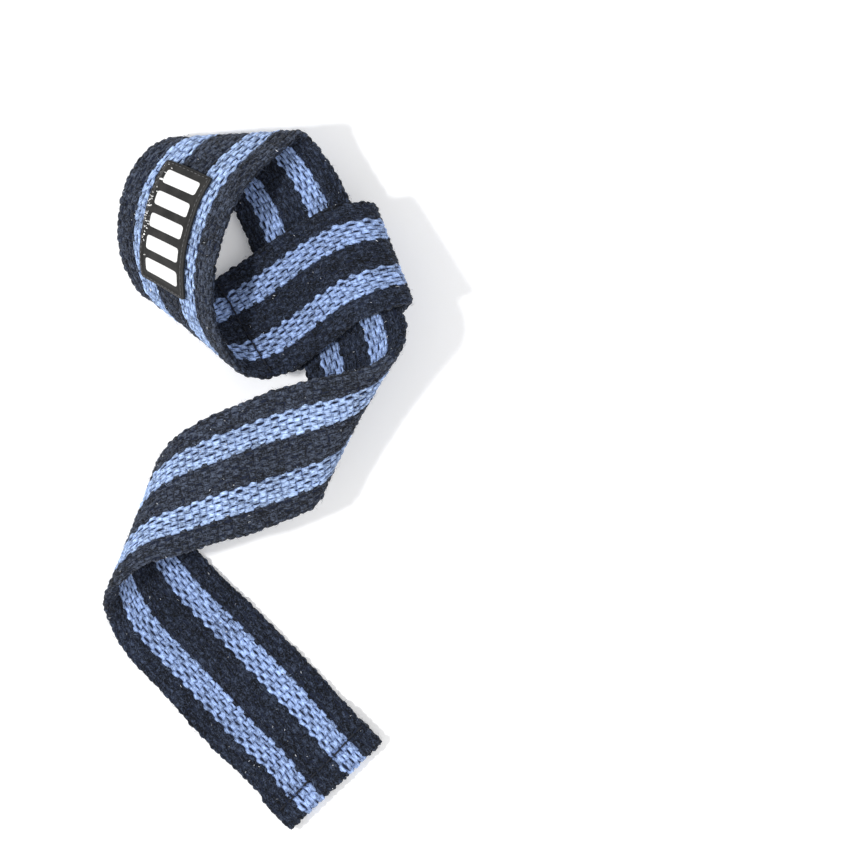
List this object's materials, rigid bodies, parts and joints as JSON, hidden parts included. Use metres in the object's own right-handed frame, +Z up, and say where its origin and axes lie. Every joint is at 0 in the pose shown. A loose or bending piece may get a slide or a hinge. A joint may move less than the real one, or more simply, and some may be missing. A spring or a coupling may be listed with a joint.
{
  "type": "weightlifting strap",
  "caption": "Cotton lifting strap: striped webbing strip with a sewn eyelet that it runs through to form a wrist loop, hemmed tail and plain label patch.",
  "frame": {"origin": "middle of the bounding box's footprint, on the surface that the strap lies on", "axes": "+Z up from the surface, +Y from the tail towards the wrist loop, +X to the right of the picture"},
  "size_m": [0.0928, 0.2088, 0.035],
  "materials": {
    "webbing_navy": "woven cotton, matt, with pale blue stripes",
    "label_black": "smooth coated patch"
  },
  "bodies": {
    "root": {"webbing": "webbing_navy", "label_patch": "label_black"}
  },
  "joints": []
}
